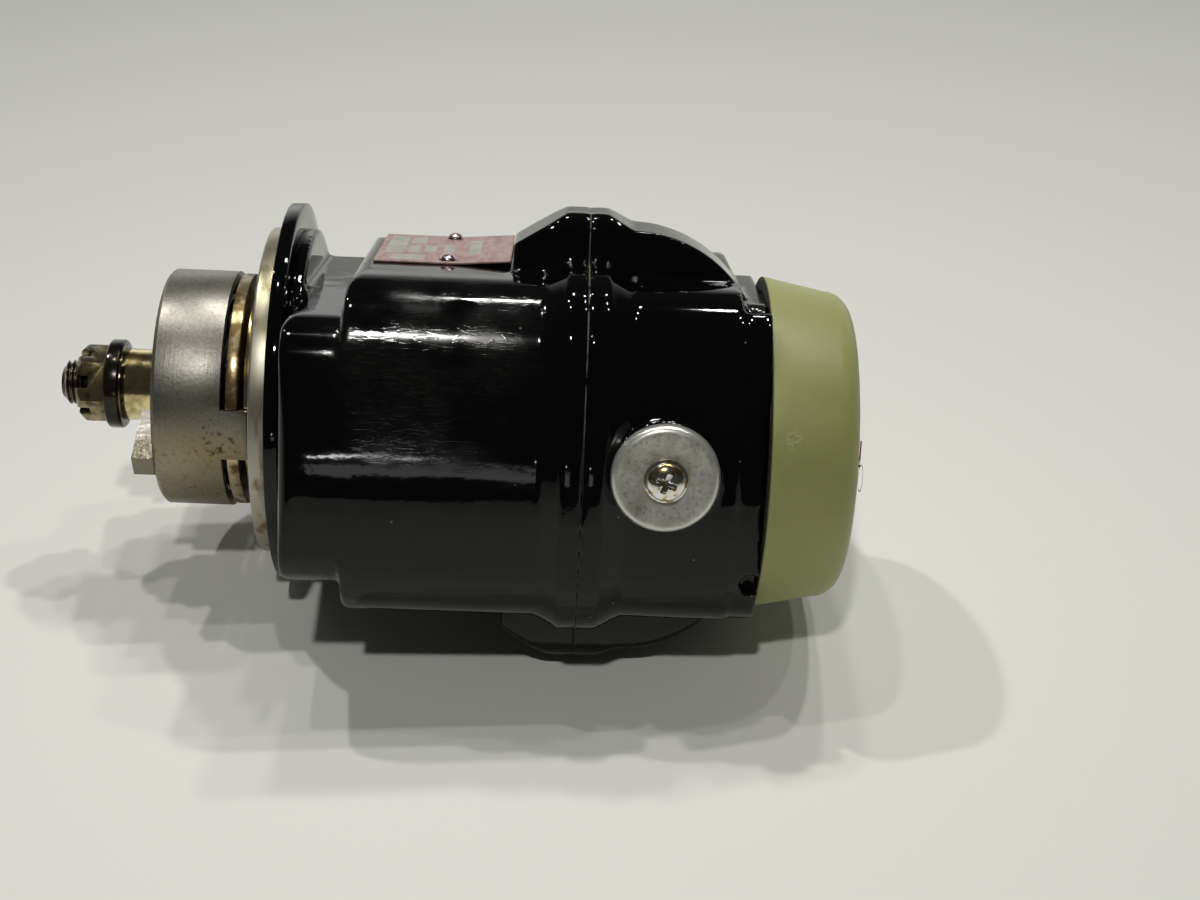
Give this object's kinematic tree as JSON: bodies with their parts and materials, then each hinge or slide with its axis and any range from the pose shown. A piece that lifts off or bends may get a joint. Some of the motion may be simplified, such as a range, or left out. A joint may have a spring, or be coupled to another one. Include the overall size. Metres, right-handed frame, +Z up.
{
  "type": "aircraft magneto",
  "caption": "Aircraft engine magneto with a round mounting flange, an impulse coupling on its drive shaft and a protective cap over its high-tension outlets.",
  "frame": {"origin": "on the shaft axis, in the plane of the mounting flange's face", "axes": "+X along the shaft toward the distributor end, +Z up toward the data plate, -Y toward the coil side"},
  "size_m": [0.165, 0.1066, 0.0916],
  "materials": {
    "black_paint": "gloss black paint on a light-alloy casting, scuffed",
    "green_plastic": "translucent yellow-green moulded plastic",
    "plate_print": "red-printed thin aluminium with pale blank fields",
    "aluminium": "dull spun aluminium",
    "seal_rubber": "black rubber",
    "brass": "plain brass",
    "dark_plastic": "dark moulded insulator",
    "gear_plastic": "natural nylon",
    "winding_wrap": "varnished coil wrap",
    "gold_plate": "yellow plated steel, oily",
    "olive_plate": "olive plated steel",
    "oiled_steel": "dark oiled steel",
    "bright_plate": "bright plated steel",
    "steel": "grey steel"
  },
  "bodies": {
    "housing": {"drive_housing": "black_paint", "distributor_housing": "black_paint", "protective_cap": "green_plastic", "cap_wire": "steel", "data_plate": "plate_print", "plate_rivets": "steel", "housing_screws": "steel", "dowel_pins": "steel", "condenser_can": "aluminium", "terminal_washer": "steel", "terminal_screw": "bright_plate", "shaft_seal": "seal_rubber", "stop_pin": "steel", "front_bearing_outer": "steel", "front_bearing_balls": "steel", "rear_bearing_outer": "steel", "rear_bearing_balls": "steel", "bearing_bar": "aluminium", "bar_screws": "steel", "bar_bush": "brass", "pole_shoes": "steel", "coil_core": "steel", "coil_winding": "winding_wrap", "coil_wedges": "steel", "breaker_base": "steel", "breaker_pivot": "steel", "fixed_contact": "brass", "distributor_block": "dark_plastic", "block_bush": "brass", "block_electrodes": "brass", "block_screws": "steel", "carbon_brush": "dark_plastic"},
    "rotor": {"rotor_shaft": "steel", "rotor_magnet": "steel", "rotor_poles": "steel", "rotor_end_plates": "aluminium", "front_bearing_inner": "steel", "rear_bearing_inner": "steel", "rotor_gear": "steel", "breaker_cam": "steel", "cam_screw": "steel", "woodruff_key": "steel", "coupling_hub": "gold_plate", "flyweight_pins": "steel", "drive_washer": "oiled_steel", "castle_nut": "olive_plate"},
    "shell": {"coupling_shell": "steel", "spring_cover": "gold_plate", "coupling_spring": "steel"},
    "flyweight_a": {"flyweight_a": "steel"},
    "flyweight_b": {"flyweight_b": "steel"},
    "distributor": {"distributor_gear": "gear_plastic", "distributor_axle": "steel", "distributor_finger": "dark_plastic", "finger_electrode": "brass"},
    "breaker": {"breaker_arm": "dark_plastic"}
  },
  "joints": [
    {"name": "rotor_spin", "type": "hinge", "parent": "housing", "child": "rotor", "pos_m": [0, 0, 0], "axis": [1, 0, 0], "continuous": true},
    {"name": "shell_windup", "type": "hinge", "parent": "rotor", "child": "shell", "pos_m": [-0.018, 0, 0], "axis": [1, 0, 0], "range_deg": [0, 25], "stiffness_Nm_per_rad": 0.6},
    {"name": "flyweight_a_swing", "type": "hinge", "parent": "rotor", "child": "flyweight_a", "pos_m": [-0.0025, 0, 0.015], "axis": [1, 0, 0], "range_deg": [0, 15]},
    {"name": "flyweight_b_swing", "type": "hinge", "parent": "rotor", "child": "flyweight_b", "pos_m": [-0.0025, 0, -0.015], "axis": [1, 0, 0], "range_deg": [0, 15]},
    {"name": "distributor_spin", "type": "hinge", "parent": "housing", "child": "distributor", "pos_m": [0.062, -0.03, 0], "axis": [1, 0, 0], "continuous": true},
    {"name": "breaker_open", "type": "hinge", "parent": "housing", "child": "breaker", "pos_m": [0.07, 0.017, -0.012], "axis": [-1, 0, 0], "range_deg": [0, 5], "stiffness_Nm_per_rad": 0.3}
  ],
  "couplings": [
    {"joint": "distributor_spin", "follows": "rotor_spin", "ratio": -0.5}
  ]
}
